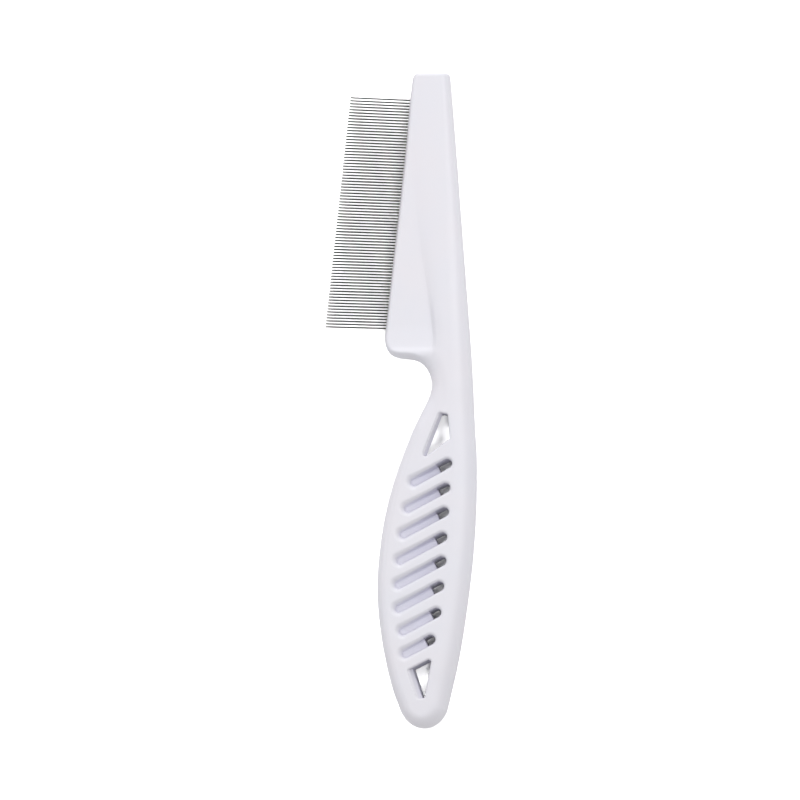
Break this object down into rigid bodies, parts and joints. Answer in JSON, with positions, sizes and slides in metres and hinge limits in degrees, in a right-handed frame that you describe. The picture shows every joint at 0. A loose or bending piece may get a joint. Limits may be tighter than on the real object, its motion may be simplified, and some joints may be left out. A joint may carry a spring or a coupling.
{
  "type": "flea comb",
  "caption": "Fine-toothed flea comb: a flat white plastic handle with slanted slots and a finger notch, and a long row of fine steel wire teeth along one side of its head.",
  "frame": {"origin": "on the plane that the comb's back rests on, under the middle of the whole comb", "axes": "+Z out of the comb's front face, +Y along the comb from the grip's end to the head's tip, -X the way the teeth point"},
  "size_m": [0.0418, 0.18, 0.01],
  "materials": {
    "white_plastic": "satin moulded",
    "steel_wire": "drawn wire, bright"
  },
  "bodies": {
    "root": {"handle": "white_plastic", "tooth_wire_01": "steel_wire", "tooth_wire_02": "steel_wire", "tooth_wire_03": "steel_wire", "tooth_wire_04": "steel_wire", "tooth_wire_05": "steel_wire", "tooth_wire_06": "steel_wire", "tooth_wire_07": "steel_wire", "tooth_wire_08": "steel_wire", "tooth_wire_09": "steel_wire", "tooth_wire_10": "steel_wire", "tooth_wire_11": "steel_wire", "tooth_wire_12": "steel_wire", "tooth_wire_13": "steel_wire", "tooth_wire_14": "steel_wire", "tooth_wire_15": "steel_wire", "tooth_wire_16": "steel_wire", "tooth_wire_17": "steel_wire", "tooth_wire_18": "steel_wire", "tooth_wire_19": "steel_wire", "tooth_wire_20": "steel_wire", "tooth_wire_21": "steel_wire", "tooth_wire_22": "steel_wire", "tooth_wire_23": "steel_wire", "tooth_wire_24": "steel_wire", "tooth_wire_25": "steel_wire", "tooth_wire_26": "steel_wire", "tooth_wire_27": "steel_wire", "tooth_wire_28": "steel_wire", "tooth_wire_29": "steel_wire", "tooth_wire_30": "steel_wire", "tooth_wire_31": "steel_wire", "tooth_wire_32": "steel_wire", "tooth_wire_33": "steel_wire", "tooth_wire_34": "steel_wire", "tooth_wire_35": "steel_wire", "tooth_wire_36": "steel_wire", "tooth_wire_37": "steel_wire", "tooth_wire_38": "steel_wire", "tooth_wire_39": "steel_wire"}
  },
  "joints": []
}
